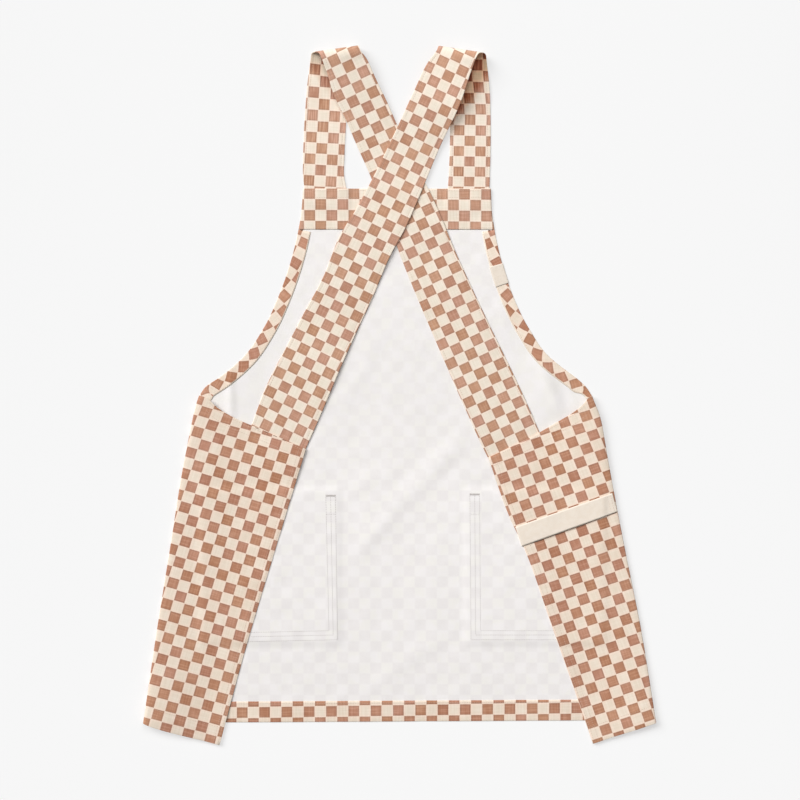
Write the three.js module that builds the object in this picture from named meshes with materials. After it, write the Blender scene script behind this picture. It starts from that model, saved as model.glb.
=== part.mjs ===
import * as THREE from 'three';

// A cross-back smock laid flat on its front and seen from its back.
// Millimetres: +X right, +Y towards the shoulders, +Z up from the table.

// Cloth thicknesses, and the air left between neighbouring pieces
const cloth = 1;
const strapCloth = 2;
const tapeCloth = 1;
const gap = 0.3;

// Turned edges, the facing and the tab, across their width
const armholeHemWide = 18;
const bottomHemWide = 30;
const facingDeep = 61;
const tabWide = 17;

// Body outline: a row for each section across the cloth, bib first
const armholeRows = [
  { y: 312, left: -147, right: 142 },
  { y: 251, left: -152, right: 141 },
  { y: 200, left: -166, right: 155 },
  { y: 149, left: -184, right: 172 },
  { y: 100, left: -207, right: 196 },
  { y: 55, left: -239, right: 230 },
  { y: 26, left: -273, right: 268 },
  { y: 6, left: -303, right: 289 },
];
const sideRows = [
  { y: 6, left: -303, right: 289 },
  { y: -40, left: -315, right: 305 },
  { y: -100, left: -327, right: 318 },
  { y: -235, left: -348, right: 343 },
  { y: -350, left: -367, right: 366 },
  { y: -498, left: -389, right: 389 },
];
const bibTop = armholeRows[0].y;
const cornerY = sideRows[0].y;
const foldEndY = sideRows[sideRows.length - 1].y;
const hemY = -497;

// Side folds: how round the cloth turns, and how far in until the wing lies down
const foldRows = [
  { y: 6, radius: 5 },
  { y: -100, radius: 3.5 },
  { y: -498, radius: 3.5 },
];
const foldSettle = 45;

// Wings: the middle of the cloth above the table, higher over the strap ends
const wingRows = [
  { y: 6, rest: 4.6 },
  { y: -120, rest: 4.6 },
  { y: -190, rest: 3.7 },
  { y: -490, rest: 3.6 },
  { y: -531, rest: 1.2 },
];
const wings = {
  left: {
    top: [[-303, 6], [-283, -16], [-253, -34], [-214, -52], [-143, -83]],
    inner: [[-143, -83], [-186, -224], [-240, -405], [-274, -531]],
  },
  right: {
    top: [[289, 6], [268, -25], [245, -39], [198, -66], [135, -98]],
    inner: [[135, -98], [168, -187], [189, -232], [232, -351], [295, -530]],
  },
};

// Patch pockets on the front, under the cloth, which rises gently over them
const pockets = [
  { name: 'pocket_left', left: -298, right: -98, top: -150, bottom: -373 },
  { name: 'pocket_right', left: 106, right: 306, top: -150, bottom: -373 },
];
const pocketMargin = 30;
const pocketSlope = 70;

// Straps: sections from the bib to the back, each with its two edges and its height
const shoulderRadius = 7;
const straps = {
  left: {
    front: [
      { leftX: -146, leftY: 293, rightX: -82, rightY: 293, z: 2.3 },
      { leftX: -146, leftY: 312, rightX: -82, rightY: 312, z: 2.3 },
      { leftX: -146, leftY: 328, rightX: -82, rightY: 328, z: 1.5 },
      { leftX: -141, leftY: 420, rightX: -82, rightY: 420, z: 1.4 },
      { leftX: -137, leftY: 490, rightX: -74, rightY: 500, z: 1.4 },
    ],
    shoulder: { leftX: -132, leftY: 519, rightX: -66, rightY: 531, z: 1.4 },
    back: [
      { leftX: -112, leftY: 492, rightX: -50, rightY: 508, z: 13.6 },
      { leftX: -101, leftY: 457, rightX: -37, rightY: 480, z: 10.2 },
      { leftX: -80, leftY: 417, rightX: -18, rightY: 441, z: 7.2 },
      { leftX: -67, leftY: 382, rightX: -3, rightY: 407, z: 5.2 },
      { leftX: -43, leftY: 328, rightX: 22, rightY: 355, z: 4.0 },
      { leftX: -19, leftY: 264, rightX: 53, rightY: 292, z: 3.8 },
      { leftX: -7, leftY: 232, rightX: 66, rightY: 262, z: 3.7 },
      { leftX: 5, leftY: 200, rightX: 79, rightY: 230, z: 2.6 },
      { leftX: 56, leftY: 81, rightX: 132, rightY: 114, z: 2.4 },
      { leftX: 100, leftY: -21, rightX: 180, rightY: 15, z: 2.4 },
      { leftX: 135, leftY: -98, rightX: 212, rightY: -57, z: 2.4 },
      { leftX: 146, leftY: -118, rightX: 221, rightY: -78, z: 2.4 },
    ],
  },
  right: {
    front: [
      { leftX: 74, leftY: 293, rightX: 139, rightY: 293, z: 2.3 },
      { leftX: 74, leftY: 312, rightX: 139, rightY: 312, z: 2.3 },
      { leftX: 74, leftY: 328, rightX: 139, rightY: 328, z: 1.5 },
      { leftX: 76, leftY: 420, rightX: 138, rightY: 420, z: 1.4 },
      { leftX: 68, leftY: 500, rightX: 135, rightY: 490, z: 1.4 },
    ],
    shoulder: { leftX: 62, leftY: 531, rightX: 129, rightY: 519, z: 1.4 },
    back: [
      { leftX: 44, leftY: 505, rightX: 110, rightY: 494, z: 13.6 },
      { leftX: 22, leftY: 461, rightX: 90, rightY: 440, z: 10.6 },
      { leftX: -3, leftY: 407, rightX: 61, rightY: 380, z: 7.8 },
      { leftX: -45, leftY: 321, rightX: 24, rightY: 290, z: 6.6 },
      { leftX: -70, leftY: 275, rightX: 7, rightY: 250, z: 6.3 },
      { leftX: -88, leftY: 247, rightX: -11, rightY: 217, z: 5.7 },
      { leftX: -117, leftY: 177, rightX: -44, rightY: 147, z: 3.3 },
      { leftX: -148, leftY: 119, rightX: -71, rightY: 84, z: 2.5 },
      { leftX: -206, leftY: 5, rightX: -119, rightY: -30, z: 2.4 },
      { leftX: -225, leftY: -46, rightX: -143, rightY: -83, z: 2.4 },
      { leftX: -233, leftY: -66, rightX: -152, rightY: -103, z: 2.4 },
    ],
  },
};

// Facing: its columns, and the lift where it lies over a strap end
const facingColumns = [
  { share: 0, lift: 1 },
  { share: 0.12, lift: 1 },
  { share: 0.24, lift: 1 },
  { share: 0.265, lift: 0 },
  { share: 0.5, lift: 0 },
  { share: 0.725, lift: 0 },
  { share: 0.75, lift: 1 },
  { share: 0.88, lift: 1 },
  { share: 1, lift: 1 },
];
const facingRows = [
  { down: 0, lift: 1 },
  { down: 14, lift: 1 },
  { down: 25, lift: 1 },
  { down: 38, lift: 0 },
  { down: facingDeep, lift: 0 },
];

// Towel loop: its upper and lower edges across the right wing, from the wing's inner edge
const loopEdges = [
  { innerX: 173, innerY: -202, outerX: 321, outerY: -151 },
  { innerX: 187, innerY: -230, outerX: 328, outerY: -179 },
];
const loopTurnedUnder = 14;

// Tab folded over the right armhole edge
const tabRows = [199, 184, 169];

// Facets
const panelColumns = 22;
const armholeSteps = 16;
const sideSteps = 18;
const wingSteps = 20;
const foldFacets = 6;
const strapSteps = 72;
const strapColumns = 3;

// Finishes
const colours = { check: 0xd8b497, inside: 0xf0edeb, tape: 0xece0cd };

const smock = new THREE.Group();

// Reads a column of a table at any y, on a smooth curve through its rows.
function readRows(rows, column, y) {
  const last = rows.length - 1;
  const at = THREE.MathUtils.clamp(y, rows[last].y, rows[0].y);
  let i = 0;
  while (i < last - 1 && at < rows[i + 1].y) {
    i += 1;
  }
  const slope = (k) => {
    const before = rows[Math.max(k - 1, 0)];
    const after = rows[Math.min(k + 1, last)];
    return (after[column] - before[column]) / (after.y - before.y);
  };
  const span = rows[i + 1].y - rows[i].y;
  const t = (at - rows[i].y) / span;
  const startWeight = (1 + 2 * t) * (1 - t) * (1 - t);
  const startPull = t * (1 - t) * (1 - t) * span * slope(i);
  const endPull = t * t * (t - 1) * span * slope(i + 1);
  return startWeight * rows[i][column] + (1 - startWeight) * rows[i + 1][column] + startPull + endPull;
}

// The body's left or right outline at height y.
function edgeX(side, y) {
  return readRows(y >= cornerY ? armholeRows : sideRows, side, y);
}

// A point on the outline, moved in from the edge along its normal.
function edgePoint(side, y, inset) {
  const lean = edgeX(side, y - 1) - edgeX(side, y + 1);
  const inward = new THREE.Vector2(2, lean).normalize();
  if (side === 'right') {
    inward.negate();
  }
  return new THREE.Vector2(edgeX(side, y), y).addScaledVector(inward, inset);
}

// How far the cloth is lifted by the pockets under it.
function riseAt(x, y) {
  const lifts = pockets.map((pocket) => {
    const beside = Math.max(pocket.left - x, x - pocket.right);
    const beyond = Math.max(pocket.bottom - y, y - pocket.top);
    const away = Math.max(beside, beyond) - pocketMargin;
    return 1 - THREE.MathUtils.smoothstep(away, 0, pocketSlope);
  });
  return Math.max(...lifts) * (cloth + gap);
}

// The middle of a wing's cloth above the table.
function wingHeight(side, x, y) {
  const radius = readRows(foldRows, 'radius', y);
  const rest = readRows(wingRows, 'rest', y);
  const crest = cloth / 2 + 2 * radius;
  const fromFold = Math.abs(edgeX(side, Math.max(y, foldEndY)) - x);
  const flat = THREE.MathUtils.smoothstep(fromFold, radius, foldSettle);
  return riseAt(x, y) + crest + (rest - crest) * flat;
}

// Closes a grid of points on the middle of the cloth into a solid of even thickness.
function sheetSolid(grid, thickness) {
  const rows = grid.length;
  const columns = grid[0].length;
  const positions = [];
  const indices = [];
  for (const side of [1, -1]) {
    for (let i = 0; i < rows; i += 1) {
      for (let j = 0; j < columns; j += 1) {
        const along = grid[Math.min(i + 1, rows - 1)][j].clone().sub(grid[Math.max(i - 1, 0)][j]);
        const across = grid[i][Math.min(j + 1, columns - 1)].clone().sub(grid[i][Math.max(j - 1, 0)]);
        const normal = along.cross(across).normalize();
        const point = grid[i][j].clone().addScaledVector(normal, (side * thickness) / 2);
        positions.push(point.x, point.y, point.z);
      }
    }
  }
  const under = rows * columns;
  for (let i = 0; i < rows - 1; i += 1) {
    for (let j = 0; j < columns - 1; j += 1) {
      const a = i * columns + j;
      const b = a + columns;
      indices.push(a, b, b + 1, a, b + 1, a + 1);
      indices.push(under + a, under + b + 1, under + b, under + a, under + a + 1, under + b + 1);
    }
  }
  const rim = [];
  for (let i = 0; i < rows - 1; i += 1) {
    rim.push(i * columns);
  }
  for (let j = 0; j < columns - 1; j += 1) {
    rim.push((rows - 1) * columns + j);
  }
  for (let i = rows - 1; i > 0; i -= 1) {
    rim.push(i * columns + columns - 1);
  }
  for (let j = columns - 1; j > 0; j -= 1) {
    rim.push(j);
  }
  rim.forEach((p, k) => {
    const q = rim[(k + 1) % rim.length];
    indices.push(q, p, under + p, q, under + p, under + q);
  });
  const geometry = new THREE.BufferGeometry();
  geometry.setAttribute('position', new THREE.Float32BufferAttribute(positions, 3));
  geometry.setIndex(indices);
  geometry.computeVertexNormals();
  return geometry;
}

function addPiece(name, grid, thickness, colour) {
  const material = new THREE.MeshStandardMaterial({ color: colour, roughness: 0.9, metalness: 0 });
  const piece = new THREE.Mesh(sheetSolid(grid, thickness), material);
  piece.name = name;
  smock.add(piece);
}

// Counts 0 to 1 in equal steps.
function shares(steps) {
  return Array.from({ length: steps + 1 }, (unused, i) => i / steps);
}

// Front panel: rows from the bib's top to the hem, inside the two side folds
function frontPanel() {
  const armhole = shares(armholeSteps).slice(0, -1);
  const stations = armhole.map((t) => bibTop + (cornerY - bibTop) * (1 - (1 - t) ** 1.6));
  stations.push(...shares(sideSteps).map((t) => cornerY + (hemY - cornerY) * t));
  const grid = stations.map((y) => {
    const inset = y > cornerY ? 0 : readRows(foldRows, 'radius', y) + gap;
    const left = edgeX('left', y) + inset;
    const right = edgeX('right', y) - inset;
    return shares(panelColumns).map((share) => {
      const x = left + (right - left) * share;
      return new THREE.Vector3(x, y, riseAt(x, y) + cloth / 2);
    });
  });
  addPiece('front_panel', grid, cloth, colours.inside);
}

// Wing: the cloth turns up round the side fold and lies back over the panel
function wing(side) {
  const outline = wings[side];
  const top = new THREE.SplineCurve(outline.top.map(([x, y]) => new THREE.Vector2(x, y)));
  const inner = new THREE.SplineCurve(outline.inner.map(([x, y]) => new THREE.Vector2(x, y)));
  const fold = (t) => {
    const y = cornerY + (foldEndY - cornerY) * t;
    return new THREE.Vector2(edgeX(side, y), y);
  };
  const bottom = (s) => fold(1).lerp(inner.getPointAt(1), s);
  const patch = (s, t) => {
    const point = fold(t).multiplyScalar(1 - s);
    point.addScaledVector(inner.getPointAt(t), s);
    point.addScaledVector(top.getPointAt(s), 1 - t);
    point.addScaledVector(bottom(s), t);
    point.addScaledVector(fold(0).lerp(inner.getPointAt(0), s), t - 1);
    return point.addScaledVector(bottom(s), -t);
  };
  const grid = shares(wingSteps).map((t) => {
    const start = fold(t);
    const wide = start.distanceTo(inner.getPointAt(t));
    const radius = readRows(foldRows, 'radius', start.y);
    const inward = patch(radius / wide, t).sub(start).normalize();
    const foot = start.clone().addScaledVector(inward, radius);
    const floor = riseAt(foot.x, foot.y) + cloth / 2;
    const row = shares(foldFacets).map((share) => {
      const turn = Math.PI * share;
      const point = foot.clone().addScaledVector(inward, -radius * Math.sin(turn));
      return new THREE.Vector3(point.x, point.y, floor + radius - radius * Math.cos(turn));
    });
    const reaches = shares(5).slice(1).map((share) => radius + (foldSettle - radius) * share);
    reaches.push(...shares(6).slice(1).map((share) => foldSettle + (wide - foldSettle) * share));
    for (const reach of reaches) {
      const point = patch(reach / wide, t);
      row.push(new THREE.Vector3(point.x, point.y, wingHeight(side, point.x, point.y)));
    }
    return row;
  });
  addPiece(`wing_${side}`, grid, cloth, colours.check);
}

// Armhole hem: a strip along the edge, from the facing to the corner of the side fold
function armholeHem(side) {
  const startY = bibTop - facingDeep - gap;
  const endY = cornerY + 8;
  const grid = shares(24).map((share) => {
    const y = startY + (endY - startY) * (1 - (1 - share) ** 1.6);
    return [0, armholeHemWide].map((inset) => {
      const point = edgePoint(side, y, inset);
      return new THREE.Vector3(point.x, point.y, cloth * 1.5 + gap);
    });
  });
  addPiece(`armhole_hem_${side}`, grid, cloth, colours.check);
}

// Bottom hem: a strip across the panel, clear of the rounding of the side folds
function hemBottom() {
  const foldClear = 7;
  const grid = [hemY + bottomHemWide, hemY].map((y) => {
    const left = edgeX('left', y) + foldClear;
    const right = edgeX('right', y) - foldClear;
    return shares(12).map((share) => {
      const x = left + (right - left) * share;
      return new THREE.Vector3(x, y, riseAt(x, y) + cloth * 1.5 + gap);
    });
  });
  addPiece('hem_bottom', grid, cloth, colours.check);
}

// Bib facing: a band that steps up over the two strap ends
function bibFacing() {
  const overStrap = strapCloth + gap;
  const grid = facingRows.map((row) => {
    const y = bibTop - row.down;
    const left = edgeX('left', y);
    const right = edgeX('right', y);
    return facingColumns.map((column) => {
      const x = left + (right - left) * column.share;
      return new THREE.Vector3(x, y, cloth * 1.5 + gap + overStrap * column.lift * row.lift);
    });
  });
  addPiece('bib_facing', grid, cloth, colours.check);
}

// Strap: up from the bib, over the round shoulder fold and down across the back
function strap(side) {
  const { front, shoulder, back } = straps[side];
  const leftEdge = [];
  const rightEdge = [];
  const addSection = (row) => {
    leftEdge.push(new THREE.Vector3(row.leftX, row.leftY, row.z));
    rightEdge.push(new THREE.Vector3(row.rightX, row.rightY, row.z));
  };
  front.forEach(addSection);
  const foldLine = new THREE.Vector2(shoulder.rightX - shoulder.leftX, shoulder.rightY - shoulder.leftY);
  const away = new THREE.Vector2(-foldLine.y, foldLine.x).normalize();
  for (const share of shares(6)) {
    const turn = Math.PI * share;
    const reach = shoulderRadius * (Math.sin(turn) - 1) - strapCloth / 2;
    addSection({
      leftX: shoulder.leftX + away.x * reach,
      leftY: shoulder.leftY + away.y * reach,
      rightX: shoulder.rightX + away.x * reach,
      rightY: shoulder.rightY + away.y * reach,
      z: shoulder.z + shoulderRadius * (1 - Math.cos(turn)),
    });
  }
  back.forEach(addSection);
  const leftCurve = new THREE.CatmullRomCurve3(leftEdge, false, 'centripetal');
  const rightCurve = new THREE.CatmullRomCurve3(rightEdge, false, 'centripetal');
  const grid = shares(strapSteps).map((t) => shares(strapColumns).map((share) => {
    const point = leftCurve.getPoint(t).lerp(rightCurve.getPoint(t), share);
    point.z += riseAt(point.x, point.y);
    return point;
  }));
  addPiece(`strap_${side}`, grid, strapCloth, colours.check);
}

// Pocket: a flat patch between the panel and the table
function pocketPatch(pocket) {
  const grid = [pocket.top, pocket.bottom].map((y) =>
    [pocket.left, pocket.right].map((x) => new THREE.Vector3(x, y, cloth / 2)));
  addPiece(pocket.name, grid, cloth, colours.check);
}

// Towel loop: turned under the wing's inner edge, then across the wing to its side fold
function towelLoop() {
  const clear = (cloth + tapeCloth) / 2 + gap;
  const edges = loopEdges.map((edge) => {
    const start = new THREE.Vector2(edge.innerX, edge.innerY);
    const end = new THREE.Vector2(edge.outerX, edge.outerY);
    const length = start.distanceTo(end);
    const onWing = (reach) => {
      const point = start.clone().lerp(end, reach / length);
      return new THREE.Vector3(point.x, point.y, wingHeight('right', point.x, point.y));
    };
    const path = [onWing(loopTurnedUnder), onWing(loopTurnedUnder / 2), onWing(0)];
    path.forEach((point) => {
      point.z -= clear;
    });
    for (const share of [0.25, 0.5, 0.75]) {
      const point = onWing(-gap - clear * Math.sin(Math.PI * share));
      point.z -= clear * Math.cos(Math.PI * share);
      path.push(point);
    }
    for (const share of shares(18)) {
      const point = onWing(length * share);
      point.z += clear;
      path.push(point);
    }
    return path;
  });
  const grid = edges[0].map((upper, i) => [0, 0.5, 1].map((share) => upper.clone().lerp(edges[1][i], share)));
  addPiece('towel_loop', grid, tapeCloth, colours.tape);
}

// Edge tab: lies on the armhole hem and turns down over the cloth's edge
function edgeTab() {
  const topZ = cloth * 2.5 + gap * 2;
  const outside = -tapeCloth / 2 - 2 * gap;
  const section = [
    { inset: tabWide, z: topZ },
    { inset: tabWide / 2, z: topZ },
    { inset: gap, z: topZ },
    { inset: outside * 0.7, z: topZ - 0.4 },
    { inset: outside, z: topZ - 1.2 },
    { inset: outside, z: cloth / 2 + gap },
  ];
  const grid = tabRows.map((y) => section.map((row) => {
    const point = edgePoint('right', y, row.inset);
    return new THREE.Vector3(point.x, point.y, row.z);
  }));
  addPiece('edge_tab', grid, tapeCloth, colours.tape);
}

pockets.forEach(pocketPatch);
frontPanel();
hemBottom();
bibFacing();
for (const side of ['left', 'right']) {
  armholeHem(side);
  wing(side);
  strap(side);
}
towelLoop();
edgeTab();

export default smock;
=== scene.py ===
import math

import bpy
import numpy as np
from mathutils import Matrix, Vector


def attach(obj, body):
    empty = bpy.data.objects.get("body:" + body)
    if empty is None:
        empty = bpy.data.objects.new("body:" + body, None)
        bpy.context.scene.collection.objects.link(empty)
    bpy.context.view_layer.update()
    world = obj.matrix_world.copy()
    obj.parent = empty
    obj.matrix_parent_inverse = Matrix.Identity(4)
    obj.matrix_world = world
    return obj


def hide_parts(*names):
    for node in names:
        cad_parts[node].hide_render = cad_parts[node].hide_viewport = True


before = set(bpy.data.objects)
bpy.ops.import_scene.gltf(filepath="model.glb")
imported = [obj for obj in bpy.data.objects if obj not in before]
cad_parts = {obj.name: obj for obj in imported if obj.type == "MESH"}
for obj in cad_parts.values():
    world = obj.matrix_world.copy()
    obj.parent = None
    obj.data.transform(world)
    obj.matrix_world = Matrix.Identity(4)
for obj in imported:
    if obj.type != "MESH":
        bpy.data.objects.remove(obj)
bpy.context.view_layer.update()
mm = 0.001  # the tables below are in millimetres, the meshes in metres

# A cross-back smock lying on its front: +X right, +Y to the shoulders, +Z up

upward = np.array([0.0, 0.0, 1.0])
sideColumn = {"left": 0, "right": 1}  # in tables that give both sides
inwardSign = {"left": 1, "right": -1}


# Curves, ripples and other small tools

def curveThrough(at, values):
    # smooth curve through a few rows, level past its ends
    at = np.array(at, float)
    values = np.array(values, float).reshape(len(at), -1)
    if at[0] > at[-1]:
        at, values = at[::-1], values[::-1]
    slopes = np.gradient(values, at, axis=0)

    def read(where):
        where = np.asarray(where, float)
        k = np.clip(np.searchsorted(at, where, side="right") - 1, 0, len(at) - 2)
        span = (at[k + 1] - at[k])[..., None]
        s = np.clip((where - at[k])[..., None] / span, 0, 1)
        start = (1 + 2 * s) * (1 - s) ** 2
        pulls = s * (1 - s) ** 2 * slopes[k] - s * s * (1 - s) * slopes[k + 1]
        return start * values[k] + (1 - start) * values[k + 1] + pulls * span

    return read


def tableCurve(rows):
    # the same for a table whose first column says where
    table = np.array(rows, float)
    return curveThrough(table[:, 0], table[:, 1:])


def alongLine(points):
    # distance run along rows of points
    steps = np.linalg.norm(np.diff(np.asarray(points, float), axis=0), axis=-1)
    return np.concatenate([np.zeros_like(steps[:1]), np.cumsum(steps, axis=0)])


def readLine(where, far, points):
    # a row of points, read at other distances along it
    return np.stack([np.interp(where, far, column) for column in points.T], axis=-1)


def evenCurve(points, count=200):
    # the same curve as count points, spaced evenly
    far = alongLine(points)
    dense = curveThrough(far, points)(np.linspace(0, far[-1], 2 * count))
    run = alongLine(dense)
    return readLine(np.linspace(0, run[-1], count), run, dense)


def smoothStep(x, low, high):
    s = np.clip((np.asarray(x, float) - low) / (high - low), 0, 1)
    return s * s * (3 - 2 * s)


def blend(first, second, share):
    return first * (1 - share) + second * share


def crowded(start, end, count, crowding=1.6):
    # places from start to end, closer together towards the end
    return blend(start, end, 1 - (1 - np.linspace(0, 1, count + 1)) ** crowding)


def ripples(x, y, size, seed, waves=7):
    # gentle unevenness about size long, between about -1 and 1
    draw = np.random.default_rng(seed)
    total = np.zeros(np.broadcast(x, y).shape)
    for _ in range(waves):
        turn, phase = draw.uniform(0, 2 * math.pi, 2)
        step = 2 * math.pi / (size * draw.uniform(0.75, 1.5))
        total += np.sin(step * (x * math.cos(turn) + y * math.sin(turn)) + phase)
    return total / math.sqrt(waves)


def unevenness(x, y, look):
    # a level with ripples on it: height, size and seed of each
    return look["level"] + sum(high * ripples(x, y, size, seed) for high, size, seed in look["ripples"])


def unit(vectors):
    return vectors / np.maximum(np.linalg.norm(vectors, axis=-1, keepdims=True), 1e-9)


def xyOf(points):
    return points[..., 0], points[..., 1]


def stacked(*parts):
    # points from their parts, each an array or one number
    return np.stack(np.broadcast_arrays(*parts), axis=-1)


plainCheck = {  # a straight and even check; each printed cloth says how its own differs
    "turn": 0, "fan": 0, "shear": 0, "fanAt": 0, "fanFrom": 0, "fanTo": 1,
    "bowBase": 0, "bow": 0, "bowAt": 0, "bend": 0, "bendFrom": 0, "sway": 0, "swayFrom": 0, "swayTo": 1,
    "stretch": 0, "stretchFrom": 0, "swell": 0, "pulls": [],
}


def squaresAt(x, y, given):
    # place in the printed check, counted in squares from the corner of a brown one
    check = {**plainCheck, **given}
    turn = math.radians(check["turn"])
    dx, dy = x - check["corner"][0], y - check["corner"][1]
    u = dx * math.cos(turn) + dy * math.sin(turn)
    v = dy * math.cos(turn) - dx * math.sin(turn)
    aside = smoothStep(-v, check["fanFrom"], check["fanTo"]) * (u - check["fanAt"])
    u = u - check["fan"] * aside
    v = v - check["shear"] * aside
    u = u - check["bowBase"] - check["bow"] * (v - check["bowAt"]) ** 2
    u = u - check["bend"] * np.maximum(v - check["bendFrom"], 0) ** 2
    u = u + check["sway"] * smoothStep(v, check["swayFrom"], check["swayTo"])
    v = v - check["stretch"] * np.maximum(v - check["stretchFrom"], 0)
    v = v - check["swell"] * v * v
    for (px, py), reach, across, down in check["pulls"]:
        near = np.exp(-((x - px) ** 2 + (y - py) ** 2) / reach ** 2)  # the cloth is drawn aside here
        u = u + across * near
        v = v + down * near
    return stacked(u / check["wide"], v / check["tall"])


# Meshes

def finishMesh(name, points, faces, squares, slots, materials, shade=None):
    mesh = bpy.data.meshes.new(name)
    sizes = np.array([len(f) for f in faces])
    corners = np.concatenate([np.asarray(f) for f in faces])
    mesh.vertices.add(len(points))
    mesh.vertices.foreach_set("co", (np.asarray(points) * mm).ravel())
    mesh.loops.add(len(corners))
    mesh.loops.foreach_set("vertex_index", corners)
    mesh.polygons.add(len(sizes))
    mesh.polygons.foreach_set("loop_start", np.concatenate([[0], np.cumsum(sizes)[:-1]]))
    mesh.polygons.foreach_set("loop_total", sizes)
    mesh.polygons.foreach_set("material_index", np.asarray(slots, np.int32))
    mesh.polygons.foreach_set("use_smooth", np.ones(len(sizes), bool))
    for layer, values in (("squares", squares), ("shade", shade)):
        if values is not None:
            mesh.uv_layers.new(name=layer).data.foreach_set("uv", np.asarray(values, float).ravel())
    mesh.update(calc_edges=True)
    mesh.validate()
    for material in materials:
        mesh.materials.append(material)
    piece = bpy.data.objects.new(name, mesh)
    bpy.context.scene.collection.objects.link(piece)
    return piece


def quadCorners(grid):
    # the corners of each cell; rows run down and columns run right, so the cells face up
    around = [grid[:-1, :-1], grid[1:, :-1], grid[1:, 1:], grid[:-1, 1:]]
    return np.stack(around, axis=2).reshape(-1, 4, *grid.shape[2:])


class ClothMesh:
    # gathers grids of points on the middle of a cloth, and closes them into a cloth of even thickness
    def __init__(self):
        self.points, self.quads, self.squares = [], [], []

    def addPoints(self, points):
        count = sum(len(flat) for flat in self.points)
        self.points.append(points.reshape(-1, 3))
        return count + np.arange(len(self.points[-1])).reshape(points.shape[:-1])

    def addGrid(self, index, squares, mirrored=False):
        # mirrored: the columns run left
        step = -1 if mirrored else 1
        self.quads.append(quadCorners(index[:, ::step]))
        self.squares.append(quadCorners(squares[:, ::step]))

    def close(self, name, thick, materials):
        # the first material goes on top and round the rim, the second underneath
        points, quads, squares = (np.concatenate(x) for x in (self.points, self.quads, self.squares))
        a, b, c, d = (points[quads[:, k]] for k in range(4))
        cross = np.cross(c - a, d - b)
        normals = np.zeros_like(points)
        for k in range(4):
            np.add.at(normals, quads[:, k], cross)
        half = unit(normals) * thick / 2
        under = len(points)
        # rim: each edge that only one quad has
        edges = np.stack([quads, np.roll(quads, -1, axis=1)], axis=2).reshape(-1, 2)
        edgeSquares = np.stack([squares, np.roll(squares, -1, axis=1)], axis=2).reshape(-1, 2, 2)
        key = edges.min(axis=1) * under + edges.max(axis=1)
        _, where, times = np.unique(key, return_index=True, return_counts=True)
        rimAt = where[times == 1]
        start, end = edges[rimAt].T
        rim = np.stack([end, start, start + under, end + under], axis=1)
        rimSquares = edgeSquares[rimAt][:, [1, 0, 0, 1]]
        faces = np.concatenate([quads, quads[:, ::-1] + under, rim])
        corners = np.concatenate([squares, squares[:, ::-1], rimSquares])
        slots = np.repeat([0, 1, 0], [len(quads), len(quads), len(rim)])
        shell = np.concatenate([points + half, points - half])
        return finishMesh(name, shell, faces, corners, slots, materials)


def clothSheet(name, points, squares, thick, materials):
    # a cloth of one grid
    cloth = ClothMesh()
    cloth.addGrid(cloth.addPoints(points), squares)
    return cloth.close(name, thick, materials)


# Shader maths

class Wire:
    def __init__(self, tree, socket):
        self.tree, self.socket = tree, socket

    def node(self, kind, settings=None, sockets=None, out=0):
        made = self.tree.nodes.new(kind)
        for key, value in (settings or {}).items():
            setattr(made, key, value)
        for key, value in (sockets or {}).items():
            if isinstance(value, Wire):
                self.tree.links.new(value.socket, made.inputs[key])
            else:
                made.inputs[key].default_value = value
        return Wire(self.tree, made.outputs[out])

    def maths(self, operation, second=0.0):
        return self.node("ShaderNodeMath", {"operation": operation}, {0: self, 1: second})

    def vectors(self, operation, second=(0, 0, 0)):
        return self.node("ShaderNodeVectorMath", {"operation": operation}, {0: self, 1: second})

    def split(self):
        outs = self.node("ShaderNodeSeparateXYZ", {}, {0: self}).socket.node.outputs
        return [Wire(self.tree, out) for out in outs[:2]]

    def mixed(self, first, second):
        # from the first colour to the second, by this share
        return self.node("ShaderNodeMix", {"data_type": "RGBA"}, {0: self, 6: first, 7: second}, out=2)

    def tinted(self, tint):
        settings = {"data_type": "RGBA", "blend_type": "MULTIPLY"}
        return self.node("ShaderNodeMix", settings, {0: 1.0, 6: self, 7: tint}, out=2)

    def lit(self, level):
        # this colour, brighter or darker
        return self.tinted(self.node("ShaderNodeCombineColor", {}, {0: level, 1: level, 2: level}))

    def ranged(self, low, high, toLow=0.0, toHigh=1.0):
        sockets = {"Value": self, "From Min": low, "From Max": high, "To Min": toLow, "To Max": toHigh}
        return self.node("ShaderNodeMapRange", {"interpolation_type": "SMOOTHSTEP"}, sockets)

    def noise(self, scale, detail=2.0, out=0):
        sockets = {"Vector": self, "Scale": scale, "Detail": detail}
        return self.node("ShaderNodeTexNoise", {"noise_dimensions": "2D"}, sockets, out)

    def drawn(self):
        # a number drawn for each place
        return self.node("ShaderNodeTexWhiteNoise", {"noise_dimensions": "2D"}, {"Vector": self})

    def __add__(self, other):
        return self.maths("ADD", other)

    def __sub__(self, other):
        return self.maths("SUBTRACT", other)

    def __rsub__(self, other):
        return self.node("ShaderNodeMath", {"operation": "SUBTRACT"}, {0: other, 1: self})

    def __mul__(self, other):
        return self.maths("MULTIPLY", other)

    __radd__ = __add__
    __rmul__ = __mul__


def newMaterial(name, values):
    # with these values on its shader, and a wire to make its nodes from
    material = bpy.data.materials.new(name)
    material.use_nodes = True
    shader = material.node_tree.nodes["Principled BSDF"]
    for key, value in values.items():
        shader.inputs[key].default_value = value
    return material, shader, Wire(material.node_tree, None)


def newCloth(name, roughness, sheen):
    values = {"Roughness": roughness, "Sheen Weight": sheen, "Specular IOR Level": 0.25}
    material, shader, wire = newMaterial(name, values)
    return material, shader, wire.node("ShaderNodeUVMap", {"uv_map": "squares"})


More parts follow.
